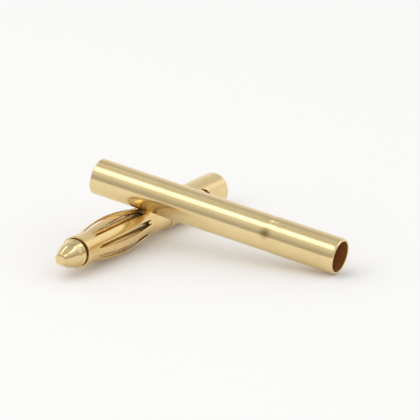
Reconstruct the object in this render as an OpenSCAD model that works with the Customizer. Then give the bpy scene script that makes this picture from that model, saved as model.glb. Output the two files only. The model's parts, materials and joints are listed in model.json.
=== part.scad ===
// Bullet connector for a battery lead: a spring plug and the socket tube that it mates with.
// The plug lies on its spring cage and the rim of its cup. The socket tube lies across the
// back of the cage, with its lower end on the ground. X runs along the plug, nose at -X.

/* [Plug] */
// Length of the plug, from the tip of the nose to the back of the cup
plug_l = 20; // [18:0.1:24]
// Length of the nose, up to the neck that the spring cage is held by
nose_l = 1.95; // [1.6:0.05:2.4]
// Diameter of the flange at the back of the nose
nose_d = 1.98; // [1.96:0.02:2.1]
// Diameter of the domed tip of the nose
tip_d = 0.84; // [0.6:0.02:1]
// Diameter of the core inside the spring cage
core_d = 1.6; // [1.2:0.05:1.7]
// Diameter of the collar behind the spring cage
collar_d = 2.16; // [2.1:0.01:2.2]
// Length of the collar behind the spring cage
collar_l = 1.3; // [0.8:0.1:1.6]

/* [Solder cup] */
// Outer diameter of the solder cup
cup_d = 2.32; // [2.28:0.01:2.4]
// Diameter of the bore for the wire
cup_bore_d = 1.7; // [1.4:0.05:1.8]
// Depth of the straight bore for the wire
cup_depth = 4.9; // [4.4:0.1:5.5]
// Diameter of the solder window in the side of the cup
window_d = 1.6; // [1:0.05:1.6]
// Distance from the back of the cup to the middle of the window
window_back = 3.1; // [2.6:0.1:3.3]
// Angle of the window round the plug, from the top
window_angle = 85; // [0:5:355]

/* [Spring cage] */
// Outer diameter of the two plain rings of the cage
ring_d = 2.2; // [2.18:0.01:2.24]
// Outer diameter of the cage where its leaves bow out most
bulge_d = 2.84; // [2.5:0.02:3]
// Thickness of the sheet that the cage is rolled from
sheet_t = 0.12; // [0.1:0.01:0.13]
// Number of spring leaves
leaf_count = 8; // [6:1:10]
// Width of one leaf
leaf_w = 0.52; // [0.4:0.02:0.62]
// Length of the leaves between the two rings
leaf_l = 6.75; // [6:0.05:7.5]
// Length of the ring at the nose end
front_ring_l = 1.25; // [0.9:0.05:1.6]
// Length of the ring at the cup end
back_ring_l = 1.4; // [1:0.05:1.8]
// Width of the seam where the edges of the rolled sheet meet
seam_w = 0.08; // [0.05:0.01:0.12]
// Angle of the first slot round the plug, from the top
slot_angle = 30; // [0:1:44]

/* [Socket tube] */
// Length of the socket tube
tube_l = 18.7; // [17:0.1:22]
// Outer diameter of the socket half
tube_d = 2.5; // [2.48:0.01:2.6]
// Diameter of the bore that takes the plug
socket_bore_d = 2.24; // [2.22:0.01:2.26]
// Depth of the straight bore that takes the plug
socket_depth = 12.9; // [12.8:0.1:13.5]
// Outer diameter of the wire half, behind the rolled neck
wire_end_d = 2.54; // [2.52:0.01:2.64]
// Diameter of the bore that takes the wire
wire_bore_d = 2.22; // [2.1:0.01:2.24]
// Diameter of the passage through the rolled neck
neck_bore_d = 1.9; // [1.6:0.05:2]

/* [How they lie] */
// Angle between the two pieces, seen from above
crossing_angle = 86.4; // [75:0.1:105]
// Distance from the tip of the nose to the crossing, along the plug
crossing_on_plug = 10.15; // [9.4:0.05:11]
// Distance from the socket's mouth to the crossing, along the tube
crossing_on_tube = 3.2; // [3:0.1:6]

/* [Hidden] */
$fn = 64;

// Play between the spring cage and the neck, seats and collar of the pin
play = 0.02;
neck_gap = 0.12;
neck_d = 1.7;
rim = 0.12;
drill_point = 31;

// Stations along the plug, from the tip of the nose
spring_start = nose_l + neck_gap;
leaf_start = spring_start + front_ring_l;
leaf_end = leaf_start + leaf_l;
spring_end = leaf_end + back_ring_l;
cup_start = spring_end + collar_l;

// Half the diameter of the cage at a station: plain rings, and leaves that bow out between them
bow_start = leaf_start + 0.12;
bow_l = leaf_l - 0.24;
function cage_r(s) = s <= bow_start || s >= bow_start + bow_l ? ring_d / 2
    : ring_d / 2 + (bulge_d - ring_d) / 2 * sin(180 * (s - bow_start) / bow_l);
bow_steps = 16;
bow_stations = [for (i = [0 : bow_steps]) bow_start + bow_l * i / bow_steps];

// The plug lies on the cage and the back rim of the cup, so its nose is tipped up a little
plug_tilt = max([for (s = bow_stations) atan((cage_r(s) - cup_d / 2) / (plug_l - s))]);
function plug_height(s) = cup_d / 2 * cos(plug_tilt) + (plug_l - s) * sin(plug_tilt);

// Shortest distance between the two axes at which the tube just clears the cage
rest_gap = 0.01;
tube_r = tube_d / 2;
axis_gap = rest_gap + max([for (i = [-20 : 20])
    let (along = i / 20 * tube_r * 0.9)
    cage_r(crossing_on_plug + along) + sqrt(pow(tube_r, 2) - pow(along, 2))]);

// The tube slopes from the crossing down to its wire end, whose rim is on the ground
wire_side_l = tube_l - crossing_on_tube;
function height_over_plug(tilt) = axis_gap * sqrt(1 - pow(cos(tilt) * cos(crossing_angle), 2))
    / (cos(tilt) * sin(crossing_angle));
function settle_tilt(tilt, turns) = turns == 0 ? tilt
    : settle_tilt(asin((plug_height(crossing_on_plug) + height_over_plug(tilt)
        - wire_end_d / 2 * cos(tilt)) / wire_side_l), turns - 1);
tube_tilt = settle_tilt(9, 12);
crossing_height = wire_end_d / 2 * cos(tube_tilt) + wire_side_l * sin(tube_tilt);

// Where the two pieces lie before the pair is centred on the origin
plug_dir = [cos(plug_tilt), 0, -sin(plug_tilt)];
tube_dir = [cos(crossing_angle) * cos(tube_tilt), -sin(crossing_angle) * cos(tube_tilt),
    -sin(tube_tilt)];
nose_tip = [-crossing_on_plug * cos(plug_tilt), 0, plug_height(0)];
cup_back = nose_tip + plug_l * plug_dir;
socket_mouth = [0, 0, crossing_height] - crossing_on_tube * tube_dir;
tube_foot = socket_mouth + tube_l * tube_dir;

// Half the extent of a disc along one axis, for a disc that faces along dir
function disc_reach(r, dir, i) = r * sqrt(1 - pow(dir[i], 2));
function low(i) = min([
    nose_tip[i], cup_back[i] - disc_reach(cup_d / 2, plug_dir, i),
    socket_mouth[i] - disc_reach(tube_r, tube_dir, i),
    tube_foot[i] - disc_reach(wire_end_d / 2, tube_dir, i)]);
function high(i) = max([
    nose_tip[i], cup_back[i] + disc_reach(cup_d / 2, plug_dir, i),
    socket_mouth[i] + disc_reach(tube_r, tube_dir, i),
    tube_foot[i] + disc_reach(wire_end_d / 2, tube_dir, i)]);
centre = [(low(0) + high(0)) / 2, (low(1) + high(1)) / 2, 0];

// The frame of each piece: its axis on +Z, from its front end at the origin
module on_plug() {
    translate(nose_tip - centre) rotate([0, 90 + plug_tilt, 0]) rotate([0, 0, 180]) children();
}
module on_tube() {
    translate(socket_mouth - centre) rotate([0, 90 + tube_tilt, -crossing_angle]) children();
}

// A round body turned from its profile, whose points are [radius, station]
module turned(profile) {
    rotate_extrude($fn = 96) polygon(profile);
}

// Points of an arc in a profile, about a middle point
function arc(middle, r, from, to, steps = 6) = [for (i = [0 : steps])
    let (angle = from + (to - from) * i / steps)
    middle + r * [cos(angle), sin(angle)]];

// The nose swells from its domed tip to its flange, like a bullet
dome_h = 0.2;
dome_r = (pow(tip_d / 2, 2) + pow(dome_h, 2)) / (2 * dome_h);
flank_end = [nose_d / 2 - 0.09, nose_l - 0.35];
function flank(u) = [tip_d / 2 + (flank_end[0] - tip_d / 2) * u + 0.1 * sin(180 * u),
    dome_h + (flank_end[1] - dome_h) * u];

// The pin: a bullet nose, a neck and two seats for the cage, a collar, and the solder cup
module plug_pin() {
    nose_r = nose_d / 2;
    seat_r = ring_d / 2 - sheet_t - play;
    front_seat = spring_start + front_ring_l - 0.2;
    back_seat = leaf_end + 0.2;
    color("goldenrod") on_plug() difference() {
        turned(concat(
            [[0, 0]],
            [for (i = [1 : 5])
                let (a = asin(tip_d / 2 / dome_r) * i / 5)
                dome_r * [sin(a), 1 - cos(a)]],
            [for (i = [1 : 8]) flank(i / 8)],
            arc([nose_r - 0.1, nose_l - 0.1], 0.1, -20, 90),
            [[neck_d / 2, nose_l], [neck_d / 2, spring_start], [seat_r, spring_start + 0.1],
             [seat_r, front_seat], [core_d / 2, front_seat + 0.2],
             [core_d / 2, back_seat - 0.2], [seat_r, back_seat],
             [seat_r, spring_end + play], [collar_d / 2 - 0.04, spring_end + play],
             [collar_d / 2, spring_end + play + 0.04], [collar_d / 2, cup_start],
             [cup_d / 2 - 0.06, cup_start], [cup_d / 2, cup_start + 0.06]],
            arc([cup_d / 2 - rim, plug_l - rim], rim, 0, 90),
            [[0, plug_l]]));
        translate([0, 0, plug_l - cup_depth]) cylinder(d = cup_bore_d, h = cup_depth + 1);
        translate([0, 0, plug_l - cup_depth - cup_bore_d / 2 * tan(drill_point)])
            cylinder(d1 = 0.01, d2 = cup_bore_d, h = cup_bore_d / 2 * tan(drill_point));
        translate([0, 0, plug_l - window_back]) rotate([0, 0, window_angle])
            rotate([0, 90, 0]) cylinder(d = window_d, h = cup_d);
    }
}

// The spring cage, rolled from sheet: two rings joined by leaves that bow out between them
module contact_spring() {
    ring_r = ring_d / 2;
    leaf_step = 360 / leaf_count;
    slot_apex = leaf_w / 2 / sin(leaf_step / 2);
    slot_reach = 2.4;
    slot_end_r = 0.17;
    slot_end_from = 0.6;
    wall_stations = concat([spring_start], bow_stations, [spring_end]);
    color("gold") on_plug() difference() {
        turned(concat(
            [for (s = wall_stations) [cage_r(s), s]],
            [for (i = [len(wall_stations) - 1 : -1 : 0])
                [cage_r(wall_stations[i]) - sheet_t, wall_stations[i]]]));
        for (i = [0 : leaf_count - 1]) rotate([0, 0, slot_angle + leaf_step * i]) {
            // The slot widens outwards, so that the leaves on both sides keep their width
            translate([0, 0, leaf_start + slot_end_r - 0.02])
                linear_extrude(height = leaf_l - 2 * slot_end_r + 0.04)
                    polygon([[slot_apex, 0],
                        [slot_apex + slot_reach, slot_reach * tan(leaf_step / 2)],
                        [slot_apex + slot_reach, -slot_reach * tan(leaf_step / 2)]]);
            // A round end stops the slot from tearing on
            for (s = [leaf_start + slot_end_r, leaf_end - slot_end_r])
                translate([slot_end_from, 0, s]) rotate([0, 90, 0])
                    cylinder(r = slot_end_r, h = slot_reach / 2);
        }
        // The seam of the rolled sheet runs through both rings at one of the slots
        rotate([0, 0, slot_angle + leaf_step * 4])
            translate([0, -seam_w / 2, 0]) cube([slot_reach, seam_w, plug_l]);
    }
}

// The socket: a drawn tube with a rolled neck, which parts the plug's bore from the wire's
module socket_tube() {
    neck_l = 0.5;
    wire_start = socket_depth + neck_l;
    neck_dip = 0.015;
    lip = 0.05;
    wire_r = wire_end_d / 2;
    color("khaki") on_tube() turned(concat(
        [[socket_bore_d / 2 + lip, 0], [tube_r - lip, 0], [tube_r, lip],
         [tube_r, socket_depth - 1.2], [tube_r - neck_dip, socket_depth],
         [wire_r - 0.02, socket_depth + 0.06], [wire_r, socket_depth + 0.1],
         [wire_r, tube_l - lip], [wire_r - lip, tube_l],
         [wire_bore_d / 2, tube_l], [wire_bore_d / 2, wire_start],
         [neck_bore_d / 2, wire_start - 0.15], [neck_bore_d / 2, socket_depth + 0.15],
         [socket_bore_d / 2, socket_depth], [socket_bore_d / 2, lip]]));
}

plug_pin();
contact_spring();
socket_tube();
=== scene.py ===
import bpy
import json
import math
from mathutils import Matrix, Vector


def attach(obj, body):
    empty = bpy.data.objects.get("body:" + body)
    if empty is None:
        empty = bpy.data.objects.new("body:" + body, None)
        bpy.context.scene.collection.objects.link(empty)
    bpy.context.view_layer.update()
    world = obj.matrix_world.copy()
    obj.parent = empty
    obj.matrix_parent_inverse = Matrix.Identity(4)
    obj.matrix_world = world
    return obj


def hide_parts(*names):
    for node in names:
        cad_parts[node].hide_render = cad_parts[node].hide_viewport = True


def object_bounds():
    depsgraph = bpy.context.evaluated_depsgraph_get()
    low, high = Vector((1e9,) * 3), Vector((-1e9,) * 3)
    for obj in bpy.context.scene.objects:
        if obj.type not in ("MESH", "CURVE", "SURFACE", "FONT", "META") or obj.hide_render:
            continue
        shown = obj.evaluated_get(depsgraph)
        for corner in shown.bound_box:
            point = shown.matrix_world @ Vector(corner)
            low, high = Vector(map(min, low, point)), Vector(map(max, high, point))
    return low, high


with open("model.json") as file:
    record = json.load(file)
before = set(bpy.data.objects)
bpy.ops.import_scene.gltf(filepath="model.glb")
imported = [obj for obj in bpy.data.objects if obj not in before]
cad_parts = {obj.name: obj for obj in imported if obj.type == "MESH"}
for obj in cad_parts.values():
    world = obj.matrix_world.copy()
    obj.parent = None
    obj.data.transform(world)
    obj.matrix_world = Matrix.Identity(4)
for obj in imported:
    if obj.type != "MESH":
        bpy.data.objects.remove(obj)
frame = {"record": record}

# A spring plug and its socket tube, gold plated, lying crossed. Pieces are modelled in millimetres
# along Z, from the plug's tip or the socket's mouth, and then set down where the frame has them.

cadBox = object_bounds()
mounts = {mount["name"]: mount for mount in frame["record"]["mounts"]}
millimetre = 0.001


def boreMouth(name):
    mount = mounts[name]  # its place is halfway along the bore
    axis = Vector(mount["axis"]).normalized()
    reach = mount["dims"]["length_mm"] / 2 * millimetre
    return Vector(mount["pos_m"]) + axis * reach, axis


def axisFrame(start, axis):
    up = Vector((0, 0, 1))
    side = (up - axis * up.dot(axis)).normalized()  # local X points up, so angles count from the top
    turn = Matrix((side, axis.cross(side), axis)).transposed()
    return Matrix.Translation(start) @ turn.to_4x4() @ Matrix.Scale(millimetre, 4)


def deselectAll():
    for item in bpy.context.selected_objects:
        item.select_set(False)


def makeActive(piece):
    deselectAll()
    piece.select_set(True)
    bpy.context.view_layer.objects.active = piece


def applyModifiers(piece):
    makeActive(piece)
    for modifier in list(piece.modifiers):
        bpy.ops.object.modifier_apply(modifier=modifier.name)


def setDown(piece, home):
    makeActive(piece)
    piece.matrix_world = home
    bpy.ops.object.transform_apply(location=True, rotation=True, scale=True)


def faceOutwards(piece):
    makeActive(piece)
    bpy.ops.object.mode_set(mode="EDIT")
    bpy.ops.mesh.select_all(action="SELECT")
    bpy.ops.mesh.normals_make_consistent(inside=False)
    bpy.ops.object.mode_set(mode="OBJECT")


def finishPiece(piece, home, node, material, smoothAngle=35):
    setDown(piece, home)
    piece.data.materials.clear()
    piece.data.materials.append(material)
    bpy.ops.object.shade_smooth_by_angle(angle=math.radians(smoothAngle))
    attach(piece, "root")
    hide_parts(node)
    print(piece.name, len(piece.data.polygons), "faces")


# Turned outlines are lists of (radius, station). An arc in one is (first angle, last angle, steps),
# in degrees: 0 points outwards and 90 towards the back.
def arcPoints(middleR, middleZ, radius, arc):
    first, last, steps = arc
    angles = [math.radians(first + (last - first) * i / steps) for i in range(steps + 1)]
    return [(middleR + radius * math.cos(angle), middleZ + radius * math.sin(angle)) for angle in angles]


def heldRuns(outline, gap=0.03, shortest=0.3):
    # A ring close to each end of a long straight run keeps the shading even along it
    held = [outline[0]]
    for (startR, startZ), (endR, endZ) in zip(outline, outline[1:]):
        run = math.hypot(endR - startR, endZ - startZ)
        if run > shortest:
            held += [(startR + (endR - startR) * share, startZ + (endZ - startZ) * share)
                     for share in (gap / run, 1 - gap / run)]
        held.append((endR, endZ))
    return held


def turnBody(name, outline, segments, closed=False, weld=0.0005):
    # A disc or a ring, extruded and scaled from one point of the outline to the next
    deselectAll()
    outline = heldRuns(outline)
    radius, station = outline[0]
    bpy.ops.mesh.primitive_circle_add(vertices=segments, radius=radius, location=(0, 0, station),
                                      fill_type="NOTHING" if closed else "NGON")
    piece = bpy.context.active_object
    piece.name = name
    bpy.ops.object.transform_apply(location=True)
    bpy.ops.object.mode_set(mode="EDIT")
    bpy.ops.mesh.select_mode(type="VERT")
    bpy.ops.mesh.select_all(action="SELECT")
    for nextRadius, nextStation in outline[1:]:
        bpy.ops.mesh.extrude_region_move(TRANSFORM_OT_translate={"value": (0, 0, nextStation - station)})
        ratio = nextRadius / radius
        bpy.ops.transform.resize(value=(ratio, ratio, 1), center_override=(0, 0, nextStation))
        radius, station = nextRadius, nextStation
    bpy.ops.mesh.select_all(action="SELECT")
    bpy.ops.mesh.remove_doubles(threshold=weld)
    bpy.ops.mesh.normals_make_consistent(inside=False)
    bpy.ops.object.mode_set(mode="OBJECT")
    return piece


# Shader arithmetic, shared by the finishes and the room
def feed(links, socket, value):
    # A socket takes a fixed value or another node's result
    if isinstance(value, (int, float, tuple)):
        socket.default_value = value
    else:
        links.new(value, socket)


def reckon(nodes, links, operation, *values):
    step = nodes.new("ShaderNodeMath")
    step.operation = operation
    for socket, value in zip(step.inputs, values):
        feed(links, socket, value)
    return step.outputs[0]


def easedStep(nodes, links, value, start, end):
    # Rises softly from 0 to 1 while the value goes from start to end
    step = nodes.new("ShaderNodeMapRange")
    step.interpolation_type = "SMOOTHSTEP"
    step.inputs["From Min"].default_value = start
    step.inputs["From Max"].default_value = end
    links.new(value, step.inputs["Value"])
    return step.outputs["Result"]


def blendColours(nodes, links, share, first, second):
    blend = nodes.new("ShaderNodeMix")
    blend.data_type = "RGBA"
    feed(links, blend.inputs["Factor"], share)
    feed(links, blend.inputs["A"], first)
    feed(links, blend.inputs["B"], second)
    return blend.outputs["Result"]


def noiseAt(nodes, links, place, scale, detail):
    noise = nodes.new("ShaderNodeTexNoise")
    noise.inputs["Scale"].default_value = scale
    noise.inputs["Detail"].default_value = detail
    links.new(place, noise.inputs["Vector"])
    return noise.outputs["Fac"]


# Gold finishes, with painted shade in the bores and gaps and beside the tube's step: lengths in metres, on
# the piece's own axis
grain = dict(cloudDetail=3, cloudLow=0.35, cloudHigh=0.65, streakDetail=4, raggedScale=1800, raggedDetail=2)
# The dull brown zones are painted shade: in the groove by the nose and, fainter, at the rear of the core
# under the spring
pinLook = dict(
    deep=(0.80, 0.60, 0.29), pale=(0.85, 0.66, 0.35), cloudScale=400, streakScale=2500, streakStretch=1.0,
    roughLow=0.10, roughHigh=0.20, bumpStrength=0.15, bumpDepth=0.00001,
    recessShadeColour=(0.2, 0.07, 0.01), raggedDepth=0.0, zoneSoftness=0.000015,
    zones=[dict(radius=0.00092, start=0.0019, fade=0.000015, end=0.0022, share=1.0),  # groove by the nose
           dict(radius=0.00085, start=0.0078, fade=0.0015, end=0.0102, share=0.3)],  # rear of the core
    dentShadeSpots=[])
springLook = dict(
    deep=(0.80, 0.58, 0.26), pale=(0.86, 0.66, 0.33), cloudScale=500, streakScale=2500, streakStretch=0.12,
    roughLow=0.14, roughHigh=0.26, bumpStrength=0.2, bumpDepth=0.00001)
# The dull brown zone is painted shade through the whole bore
tubeLook = dict(
    deep=(0.82, 0.64, 0.33), pale=(0.86, 0.69, 0.38), cloudScale=300, streakScale=2200, streakStretch=0.06,
    roughLow=0.14, roughHigh=0.24, bumpStrength=0.2, bumpDepth=0.00001,
    recessShadeColour=(0.33, 0.12, 0.032), raggedDepth=0.00009, zoneSoftness=0.00001,
    zones=[dict(radius=0.001135, start=0.0, fade=0.0001, end=0.0187, share=1.0)],  # the whole bore
    # The darker spot by the step is painted shade of a shallow dent there
    dentShadeSpots=[dict(place=(0.00042, 0.00117, 0.01345), reach=0.0006, colour=(0.38, 0.27, 0.11))])


def paintShadeInRecesses(nodes, links, shader, place, gold, look):
    # Painted shade: deep inside its bores and gaps the metal is coloured a dull brown where shade falls
    split = nodes.new("ShaderNodeSeparateXYZ")
    links.new(place, split.inputs[0])
    ragged = noiseAt(nodes, links, place, grain["raggedScale"], grain["raggedDetail"])
    station = reckon(nodes, links, "MULTIPLY_ADD", ragged, look["raggedDepth"], split.outputs["Z"])
    squares = [reckon(nodes, links, "MULTIPLY", split.outputs[axis], split.outputs[axis]) for axis in "XY"]
    radius = reckon(nodes, links, "SQRT", reckon(nodes, links, "ADD", *squares))
    soft = look["zoneSoftness"]
    recessShade = 0
    for zone in look["zones"]:
        start, end, fade = zone["start"], zone["end"], zone["fade"]
        within = easedStep(nodes, links, radius, zone["radius"] + soft, zone["radius"])
        after = easedStep(nodes, links, station, start - fade, start + fade)
        before = easedStep(nodes, links, station, end + soft, end - soft)
        between = reckon(nodes, links, "MULTIPLY", after, before)
        share = reckon(nodes, links, "MULTIPLY", between, zone["share"])
        recessShade = reckon(nodes, links, "MULTIPLY_ADD", within, share, recessShade)
    # Painted shade: a soft darker spot stands in for the shade of the dent by the tube's step
    for dentShadeSpot in look["dentShadeSpots"]:
        away = nodes.new("ShaderNodeVectorMath")
        away.operation = "DISTANCE"
        away.inputs[1].default_value = dentShadeSpot["place"]
        links.new(place, away.inputs[0])
        near = easedStep(nodes, links, away.outputs["Value"], dentShadeSpot["reach"], 0.0)
        gold = blendColours(nodes, links, near, gold, (*dentShadeSpot["colour"], 1))
    colour = blendColours(nodes, links, recessShade, gold, (*look["recessShadeColour"], 1))
    links.new(colour, shader.inputs["Base Color"])
    links.new(reckon(nodes, links, "SUBTRACT", 1, recessShade), shader.inputs["Metallic"])
    shader.inputs["Specular IOR Level"].default_value = 0.0


def goldFinish(name, look, home):
    material = bpy.data.materials.new(name)
    material.use_nodes = True
    nodes, links = material.node_tree.nodes, material.node_tree.links
    shader = nodes["Principled BSDF"]
    shader.inputs["Metallic"].default_value = 1.0
    place = nodes.new("ShaderNodeTexCoord")
    mapping = nodes.new("ShaderNodeMapping")
    mapping.vector_type = "TEXTURE"  # turns the pattern onto the piece's own axis
    mapping.inputs["Location"].default_value = home.to_translation()
    mapping.inputs["Rotation"].default_value = home.to_euler()
    links.new(place.outputs["Object"], mapping.inputs["Vector"])
    ownPlace = mapping.outputs["Vector"]
    stretch = nodes.new("ShaderNodeVectorMath")
    stretch.operation = "MULTIPLY"
    stretch.inputs[1].default_value = (1, 1, look["streakStretch"])
    links.new(ownPlace, stretch.inputs[0])

    cloud = noiseAt(nodes, links, ownPlace, look["cloudScale"], grain["cloudDetail"])
    tint = nodes.new("ShaderNodeValToRGB")
    deep, pale = tint.color_ramp.elements
    deep.position, pale.position = grain["cloudLow"], grain["cloudHigh"]
    deep.color = (*look["deep"], 1)
    pale.color = (*look["pale"], 1)
    links.new(cloud, tint.inputs["Fac"])
    links.new(tint.outputs["Color"], shader.inputs["Base Color"])
    if "zones" in look:
        paintShadeInRecesses(nodes, links, shader, ownPlace, tint.outputs["Color"], look)

    streak = noiseAt(nodes, links, stretch.outputs["Vector"], look["streakScale"], grain["streakDetail"])
    rough = nodes.new("ShaderNodeMapRange")
    rough.inputs["To Min"].default_value = look["roughLow"]
    rough.inputs["To Max"].default_value = look["roughHigh"]
    links.new(streak, rough.inputs["Value"])
    links.new(rough.outputs["Result"], shader.inputs["Roughness"])
    bump = nodes.new("ShaderNodeBump")
    bump.inputs["Strength"].default_value = look["bumpStrength"]
    bump.inputs["Distance"].default_value = look["bumpDepth"]
    links.new(streak, bump.inputs["Height"])
    links.new(bump.outputs["Normal"], shader.inputs["Normal"])
    return material


# Plug pin: nose, groove, core under the spring, collar, and a solder cup with its window
pin = dict(
    length=20.0, segments=160, centreR=0.02, shoulderLean=0.0001,
    tipBack=0.07, tipR=0.42, tipFace=0.75, tipRise=0.02, tipRound=0.09, tipRoundLift=0.1,
    tipArc=(-75, -28, 5), domeHeight=0.2, swell=0.1, flankSteps=16, flankInset=0.09, flankBack=0.35,
    noseLength=1.92, noseR=0.99, noseRound=0.1, noseArc=(-20, 90, 9),
    neckR=0.78, neckGap=0.15, neckSlope=0.1, seatR=0.96, seatSlope=0.2, coreR=0.8,
    ringLength=1.25, leafLength=6.75, backRing=1.4, springPlay=0.02,
    collarR=1.08, collarLength=1.3, collarRound=0.04, collarArc=(-60, 0, 3),
    cupR=1.16, cupRound=0.06, cupArc=(-90, 0, 5), rim=0.12, rimArc=(0, 90, 8),
    boreR=0.85, boreDepth=4.9, boreRound=0.04, boreArc=(90, 180, 4), pointDepth=0.51,
    windowR=0.8, windowBack=3.1, windowAngle=85, drillLength=2, drillSegments=96)


def noseOutline():
    tipR, tipRound, tipFront = pin["tipR"], pin["tipRound"], pin["tipBack"] + pin["tipRise"]
    flankStart, flankEnd = pin["tipBack"] + pin["domeHeight"], pin["noseLength"] - pin["flankBack"]
    widening = pin["noseR"] - pin["flankInset"] - tipR
    outline = [(pin["centreR"], pin["tipBack"]), (tipR * pin["tipFace"], tipFront)]
    outline += arcPoints(tipR - tipRound, tipFront + pin["tipRoundLift"], tipRound, pin["tipArc"])
    for i in range(1, pin["flankSteps"] + 1):  # the flank widens evenly, with a slight swell
        share = i / pin["flankSteps"]
        outline.append((tipR + widening * share + pin["swell"] * math.sin(math.pi * share),
                        flankStart + (flankEnd - flankStart) * share))
    noseRound = pin["noseRound"]
    return outline + arcPoints(pin["noseR"] - noseRound, pin["noseLength"] - noseRound, noseRound,
                               pin["noseArc"])


def makePin():
    springStart = pin["noseLength"] + pin["neckGap"]
    leafStart = springStart + pin["ringLength"]
    leafEnd = leafStart + pin["leafLength"]
    springEnd = leafEnd + pin["backRing"] + pin["springPlay"]
    cupStart = springEnd + pin["collarLength"] - pin["springPlay"]
    length, boreEnd = pin["length"], pin["length"] - pin["boreDepth"]
    neckR, seatR, coreR, seatSlope = pin["neckR"], pin["seatR"], pin["coreR"], pin["seatSlope"]
    collarR, collarRound, cupRound = pin["collarR"], pin["collarRound"], pin["cupRound"]
    rim, boreRound = pin["rim"], pin["boreRound"]
    outline = noseOutline()
    outline += [(neckR, pin["noseLength"] + pin["shoulderLean"]), (neckR, springStart),
                (seatR, springStart + pin["neckSlope"]), (seatR, leafStart - seatSlope), (coreR, leafStart),
                (coreR, leafEnd), (seatR, leafEnd + seatSlope), (seatR, springEnd),
                (collarR - collarRound, springEnd + pin["shoulderLean"])]
    outline += arcPoints(collarR - collarRound, springEnd + collarRound, collarRound, pin["collarArc"])
    outline += [(collarR, cupStart)]
    outline += arcPoints(pin["cupR"] - cupRound, cupStart + cupRound, cupRound, pin["cupArc"])
    outline += arcPoints(pin["cupR"] - rim, length - rim, rim, pin["rimArc"])
    outline += arcPoints(pin["boreR"] + boreRound, length - boreRound, boreRound, pin["boreArc"])
    outline += [(pin["boreR"], boreEnd), (pin["centreR"], boreEnd - pin["pointDepth"])]
    piece = turnBody("plugPin", outline, pin["segments"])

    deselectAll()  # the solder window is drilled through one side of the cup
    angle = math.radians(pin["windowAngle"])
    out = pin["drillLength"] / 2  # the drill starts on the axis
    bpy.ops.mesh.primitive_cylinder_add(
        vertices=pin["drillSegments"], radius=pin["windowR"], depth=pin["drillLength"],
        location=(out * math.cos(angle), out * math.sin(angle), length - pin["windowBack"]),
        rotation=(0, math.pi / 2, angle))
    drill = bpy.context.active_object
    cut = piece.modifiers.new("window", "BOOLEAN")
    cut.operation = "DIFFERENCE"
    cut.object = drill
    applyModifiers(piece)
    bpy.data.objects.remove(drill)
    return piece


# Spring cage: a slotted sheet with thickness, rolled round the core, each leaf bowed outwards
cage = dict(
    start=2.07, length=9.4, ringR=1.1, sheet=0.12, leaves=8, leafWidth=0.52, frontRing=1.25, leafLength=6.75,
    seam=0.08, slotAngle=30, seamSlot=4, bulge=0.32, bowMargin=0.12, bowSoftness=0.06,
    leafColumns=8, slotColumns=3, ringRows=6, leafRows=40, slotEndRow=1.6,
    edge=0.016, edgeSegments=2, edgeAngle=60)
pitch = 2 * math.pi * cage["ringR"] / cage["leaves"]  # one leaf and one slot
halfSlot = (pitch - cage["leafWidth"]) / 2
slotStart = cage["frontRing"] + halfSlot  # middle of each slot's round end
slotEnd = cage["frontRing"] + cage["leafLength"] - halfSlot


def spread(start, end, count):
    return [start + (end - start) * i / count for i in range(count)]


def fromSlot(across):
    return min(across % pitch, pitch - across % pitch)


def slotRounding(across):
    return math.sqrt(max(halfSlot ** 2 - fromSlot(across) ** 2, 0))


def sheetColumns():
    # Spaced by a turning radius across each slot, so that its ends come out round
    turns = [math.pi / 2 * i / cage["slotColumns"] for i in range(cage["slotColumns"] + 1)]
    distances = [halfSlot * math.cos(turn) for turn in turns]
    columns = []
    for leaf in range(cage["leaves"]):
        start = leaf * pitch
        columns += [start + distance for distance in reversed(distances[1:])]
        columns += spread(start + halfSlot, start + pitch - halfSlot, cage["leafColumns"])
        columns += [start + pitch - distance for distance in distances[:-1]]
    return columns + [cage["leaves"] * pitch]


def sheetRows():
    beyond = halfSlot * cage["slotEndRow"]
    front = spread(0, slotStart - beyond, cage["ringRows"]) + [slotStart - beyond]
    middle = spread(slotStart, slotEnd, cage["leafRows"]) + [slotEnd]
    back = spread(slotEnd + beyond, cage["length"], cage["ringRows"]) + [cage["length"]]
    return front + middle + back, len(front), len(front) + len(middle) - 1


def laySheet():
    columns = sheetColumns()
    rows, firstLeafRow, lastLeafRow = sheetRows()
    deselectAll()
    bpy.ops.mesh.primitive_grid_add(x_subdivisions=len(columns) - 1, y_subdivisions=len(rows) - 1, size=2)
    piece = bpy.context.active_object
    piece.name = "springCage"
    for vertex in piece.data.vertices:  # the grid spans -1 to 1 both ways
        column = round((vertex.co.x + 1) / 2 * (len(columns) - 1))
        row = round((vertex.co.y + 1) / 2 * (len(rows) - 1))
        across, along = columns[column], rows[row]
        if row == firstLeafRow:
            along -= slotRounding(across)
        if row == lastLeafRow:
            along += slotRounding(across)
        if column == 0:
            across += cage["seam"] / 2
        if column == len(columns) - 1:
            across -= cage["seam"] / 2
        vertex.co = (across, along, 0)
    return piece


def cutSlots(piece):
    makeActive(piece)
    bpy.ops.object.mode_set(mode="EDIT")
    bpy.ops.mesh.select_all(action="DESELECT")
    bpy.ops.mesh.select_mode(type="FACE")
    bpy.ops.object.mode_set(mode="OBJECT")
    for face in piece.data.polygons:
        face.select = slotStart < face.center.y < slotEnd and fromSlot(face.center.x) < halfSlot
    bpy.ops.object.mode_set(mode="EDIT")
    bpy.ops.mesh.delete(type="FACE")
    bpy.ops.object.mode_set(mode="OBJECT")
    faceOutwards(piece)


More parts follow.
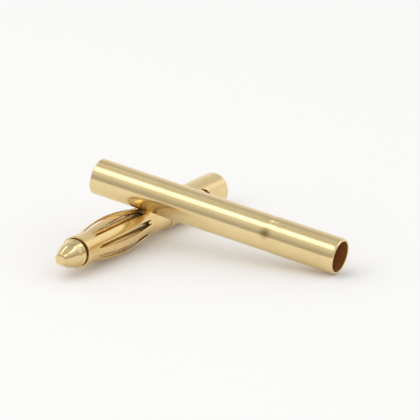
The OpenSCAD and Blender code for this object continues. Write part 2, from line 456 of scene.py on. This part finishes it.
def thickenSheet(piece):
    wall = piece.modifiers.new("sheet", "SOLIDIFY")
    wall.thickness = cage["sheet"]
    wall.offset = -1
    applyModifiers(piece)
    edge = piece.modifiers.new("edges", "BEVEL")
    edge.width = cage["edge"]
    edge.segments = cage["edgeSegments"]
    edge.limit_method = "ANGLE"
    edge.angle_limit = math.radians(cage["edgeAngle"])
    smooth = piece.modifiers.new("smooth", "SUBSURF")
    smooth.levels = smooth.render_levels = 1
    applyModifiers(piece)


def bowAt(along):
    start = cage["frontRing"] + cage["bowMargin"]
    share = (along - start) / (cage["leafLength"] - 2 * cage["bowMargin"])
    wave = math.sin(math.pi * min(max(share, 0), 1))
    soft = cage["bowSoftness"]
    return cage["bulge"] * (math.hypot(wave, soft) - soft) / (math.hypot(1, soft) - soft)


def rollSheet(piece):
    step = 2 * math.pi / cage["leaves"]
    seamAngle = math.radians(cage["slotAngle"]) + step * cage["seamSlot"]
    outer = max(vertex.co.z for vertex in piece.data.vertices)
    for vertex in piece.data.vertices:
        across, along, depth = vertex.co
        leaf = min(max(math.floor(across / pitch), 0), cage["leaves"] - 1)
        angle = (across - (leaf + 0.5) * pitch) / cage["ringR"]
        radius = cage["ringR"] + depth - outer
        outwards = radius * math.cos(angle) + bowAt(along)  # each leaf moves out as one strip
        sideways = radius * math.sin(angle)
        middle = seamAngle + (leaf + 0.5) * step
        vertex.co = (outwards * math.cos(middle) - sideways * math.sin(middle),
                     outwards * math.sin(middle) + sideways * math.cos(middle), cage["start"] + along)
    faceOutwards(piece)


def makeCage():
    piece = laySheet()
    cutSlots(piece)
    thickenSheet(piece)
    rollSheet(piece)
    return piece


# Socket tube: from the socket's mouth, past a shallow step, to the wire end that rolls in a little
tube = dict(
    length=18.7, segments=192, outerR=1.25, wireR=1.27, socketR=1.12, wireBoreR=1.11, burrR=1.085,
    neckR=0.95, socketDepth=12.9, neckLength=0.5, neckSlope=0.15, lip=0.03, edge=0.1, mouthArc=(-90, 0, 8),
    stepShift=0.7, stepDip=0.004, dipStart=0.9, dipBottom=0.3, stepFoot=0.02, stepTop=0.04, stepRise=0.5,
    roll=0.4, wireArc=(0, 90, 10), burrLength=0.12, burrSlope=0.2)


def makeTube():
    depth, length, lip, edge = tube["socketDepth"], tube["length"], tube["lip"], tube["edge"]
    outerR, dip, slope = tube["outerR"], tube["stepDip"], tube["neckSlope"]
    wireStart = depth + tube["neckLength"]
    step = depth + tube["stepShift"]
    outline = [(tube["socketR"], lip)]
    outline += arcPoints(outerR - edge, edge, edge, tube["mouthArc"])
    outline += [(outerR, step - tube["dipStart"]), (outerR - dip, step - tube["dipBottom"]),
                (outerR - dip, step - tube["stepFoot"]), (outerR + dip, step + tube["stepTop"]),
                (tube["wireR"], step + tube["stepRise"])]
    outline += [(radius, length - tube["roll"] * (length - station) / edge)
                for radius, station in arcPoints(tube["wireR"] - edge, length - edge, edge, tube["wireArc"])]
    outline += [(tube["burrR"], length - lip), (tube["burrR"], length - tube["burrLength"]),
                (tube["wireBoreR"], length - tube["burrSlope"]), (tube["wireBoreR"], wireStart),
                (tube["neckR"], wireStart - slope), (tube["neckR"], depth + slope),
                (tube["socketR"], depth), (tube["socketR"], lip)]
    return turnBody("socketTube", outline, tube["segments"], closed=True)


cupBack, plugAxis = boreMouth("cup_bore")
plugHome = axisFrame(cupBack - plugAxis * pin["length"] * millimetre, plugAxis)
tubeFoot, tubeAxis = boreMouth("wire_bore")
tubeHome = axisFrame(tubeFoot - tubeAxis * tube["length"] * millimetre, tubeAxis)

finishPiece(makePin(), plugHome, "plug_pin", goldFinish("polishedGold", pinLook, plugHome))
finishPiece(makeCage(), plugHome, "contact_spring",
            goldFinish("rolledGold", springLook, plugHome))
finishPiece(makeTube(), tubeHome, "socket_tube", goldFinish("drawnGold", tubeLook, tubeHome))
print("pieces done")


# Floor, room, lamp and camera
studio = dict(floorSize=3.0, floorGap=0.00001, floorColour=(0.90, 0.895, 0.885), floorLift=0.04,
              floorTint=(1.0, 0.995, 0.98), worldDiffuse=0.9, backBearing=31, wallBlend=(-0.1, 0.25),
              boxDirection=(-0.4855, 0.245, 0.84), boxDistance=0.3, boxSize=(0.24, 0.40), boxRadiance=0.64)
# Brightness of the room as polished metal sees it, by height: 0 at the horizon and 1 overhead
frontWall = [(0.0, 0.45), (0.11, 0.48), (0.22, 0.56), (0.3, 0.7), (0.42, 0.8), (0.7, 0.72), (1.0, 0.66)]
backWall = [(0.0, 1.0), (0.2, 0.9), (0.36, 0.78), (0.48, 0.66), (0.6, 0.52), (0.68, 0.56), (0.76, 0.63),
            (1.0, 0.66)]
# Bright panels: bearing from the back wall and its reach each way, then low and high edge, all in degrees
panels = [dict(bearing=-88, reach=38, low=45, high=58, lowSoft=5, highSoft=5, level=2.4),
          dict(bearing=46, reach=32, low=50, high=67, lowSoft=6, highSoft=2, level=2.0),
          dict(bearing=128, reach=45, low=48, high=70, lowSoft=16, highSoft=4, level=2.4),
          dict(bearing=-63, reach=20, low=14, high=44, lowSoft=6, highSoft=6, level=1.1)]
panelSideSoft = 0.1  # radians


def makeFloor():
    deselectAll()
    lowest = cadBox[0][2]
    bpy.ops.mesh.primitive_plane_add(size=studio["floorSize"], location=(0, 0, lowest - studio["floorGap"]))
    floor = bpy.context.active_object
    floor.name = "tableTop"
    material = bpy.data.materials.new("paleTable")
    material.use_nodes = True
    nodes, links = material.node_tree.nodes, material.node_tree.links
    nodes.clear()
    matt = nodes.new("ShaderNodeBsdfDiffuse")
    matt.inputs["Color"].default_value = (*studio["floorColour"], 1)
    lift = nodes.new("ShaderNodeEmission")
    lift.inputs["Color"].default_value = (*studio["floorTint"], 1)
    rays = nodes.new("ShaderNodeLightPath")
    seen = reckon(nodes, links, "MAXIMUM", rays.outputs["Is Camera Ray"], rays.outputs["Is Glossy Ray"])
    links.new(reckon(nodes, links, "MULTIPLY", seen, studio["floorLift"]), lift.inputs["Strength"])
    both = nodes.new("ShaderNodeAddShader")
    links.new(matt.outputs[0], both.inputs[0])
    links.new(lift.outputs[0], both.inputs[1])
    output = nodes.new("ShaderNodeOutputMaterial")
    links.new(both.outputs[0], output.inputs["Surface"])
    floor.data.materials.append(material)


def wallLevel(nodes, links, height, stops):
    ramp = nodes.new("ShaderNodeValToRGB")
    elements = ramp.color_ramp.elements
    for place, level in stops:
        ends = {0.0: 0, 1.0: len(elements) - 1}  # a new ramp has these two stops
        stop = elements[ends[place]] if place in ends else elements.new(place)
        stop.color = (level, level, level, 1)
    links.new(height, ramp.inputs["Fac"])
    return ramp.outputs["Color"]


def panelLight(nodes, links, panel, bearing, height):
    centre, low, high, reach, lowSoft, highSoft = (
        math.radians(panel[name]) for name in ("bearing", "low", "high", "reach", "lowSoft", "highSoft"))
    away = reckon(nodes, links, "ABSOLUTE", reckon(nodes, links, "SUBTRACT", bearing, centre))
    upright = reckon(nodes, links, "MULTIPLY", easedStep(nodes, links, height, low - lowSoft, low + lowSoft),
                     easedStep(nodes, links, height, high + highSoft, high - highSoft))
    sideways = easedStep(nodes, links, away, reach + panelSideSoft, reach - panelSideSoft)
    shape = reckon(nodes, links, "MULTIPLY", upright, sideways)
    return reckon(nodes, links, "MULTIPLY", shape, panel["level"])


def makeWorld():
    world = bpy.data.worlds.new("studioRoom")
    bpy.context.scene.world = world
    world.use_nodes = True
    nodes, links = world.node_tree.nodes, world.node_tree.links
    nodes.clear()
    where = nodes.new("ShaderNodeTexCoord")
    split = nodes.new("ShaderNodeSeparateXYZ")
    turn = nodes.new("ShaderNodeVectorRotate")
    turn.rotation_type = "Z_AXIS"
    turn.inputs["Angle"].default_value = -math.radians(studio["backBearing"])  # +X now faces the back wall
    links.new(where.outputs["Generated"], turn.inputs["Vector"])
    links.new(turn.outputs["Vector"], split.inputs[0])
    bearing = reckon(nodes, links, "ARCTAN2", split.outputs["Y"], split.outputs["X"])
    height = reckon(nodes, links, "ARCSINE", split.outputs["Z"])
    quarter = reckon(nodes, links, "DIVIDE", height, math.pi / 2)

    backShare = easedStep(nodes, links, split.outputs["X"], *studio["wallBlend"])
    level = blendColours(nodes, links, backShare, wallLevel(nodes, links, quarter, frontWall),
                         wallLevel(nodes, links, quarter, backWall))
    for panel in panels:
        level = reckon(nodes, links, "MAXIMUM", level, panelLight(nodes, links, panel, bearing, height))

    # Polished metal sees the room, everything matt gets an even light, and the camera sees white
    rays = nodes.new("ShaderNodeLightPath")
    even = (studio["worldDiffuse"],) * 3 + (1,)
    lit = blendColours(nodes, links, rays.outputs["Is Glossy Ray"], even, level)
    seen = blendColours(nodes, links, rays.outputs["Is Camera Ray"], lit, (1, 1, 1, 1))
    back = nodes.new("ShaderNodeBackground")
    output = nodes.new("ShaderNodeOutputWorld")
    links.new(seen, back.inputs["Color"])
    links.new(back.outputs[0], output.inputs["Surface"])


def makeSoftbox():
    width, height = studio["boxSize"]
    lamp = bpy.data.lights.new("softbox", "AREA")
    lamp.shape = "RECTANGLE"
    lamp.size, lamp.size_y = width, height
    lamp.energy = studio["boxRadiance"] * math.pi * width * height  # in watts, over the whole face
    holder = bpy.data.objects.new("softbox", lamp)
    bpy.context.collection.objects.link(holder)
    towards = Vector(studio["boxDirection"]).normalized()
    holder.location = towards * studio["boxDistance"]
    holder.rotation_euler = towards.to_track_quat("Z", "Y").to_euler()
    holder.visible_glossy = False  # polished metal mirrors the room's panels instead


# A long lens, far off and a little above: angles in degrees, lengths in metres
view = dict(azimuth=-148.78, elevation=17.72, distance=0.492, angle=3.309,
            aim=(0.00132, 0.001155, 0.00278), clip=(0.01, 20))


def makeCamera():
    azimuth, elevation = math.radians(view["azimuth"]), math.radians(view["elevation"])
    towards = Vector((math.cos(elevation) * math.cos(azimuth), math.cos(elevation) * math.sin(azimuth),
                      math.sin(elevation)))
    data = bpy.data.cameras.new("camera")
    data.angle = math.radians(view["angle"])
    data.clip_start, data.clip_end = view["clip"]
    camera = bpy.data.objects.new("camera", data)
    bpy.context.collection.objects.link(camera)
    camera.location = Vector(view["aim"]) + towards * view["distance"]
    camera.rotation_euler = towards.to_track_quat("Z", "Y").to_euler()
    bpy.context.scene.camera = camera


makeFloor()
makeWorld()
makeSoftbox()
makeCamera()
bpy.context.scene.view_settings.view_transform = "Standard"
print("stage done")
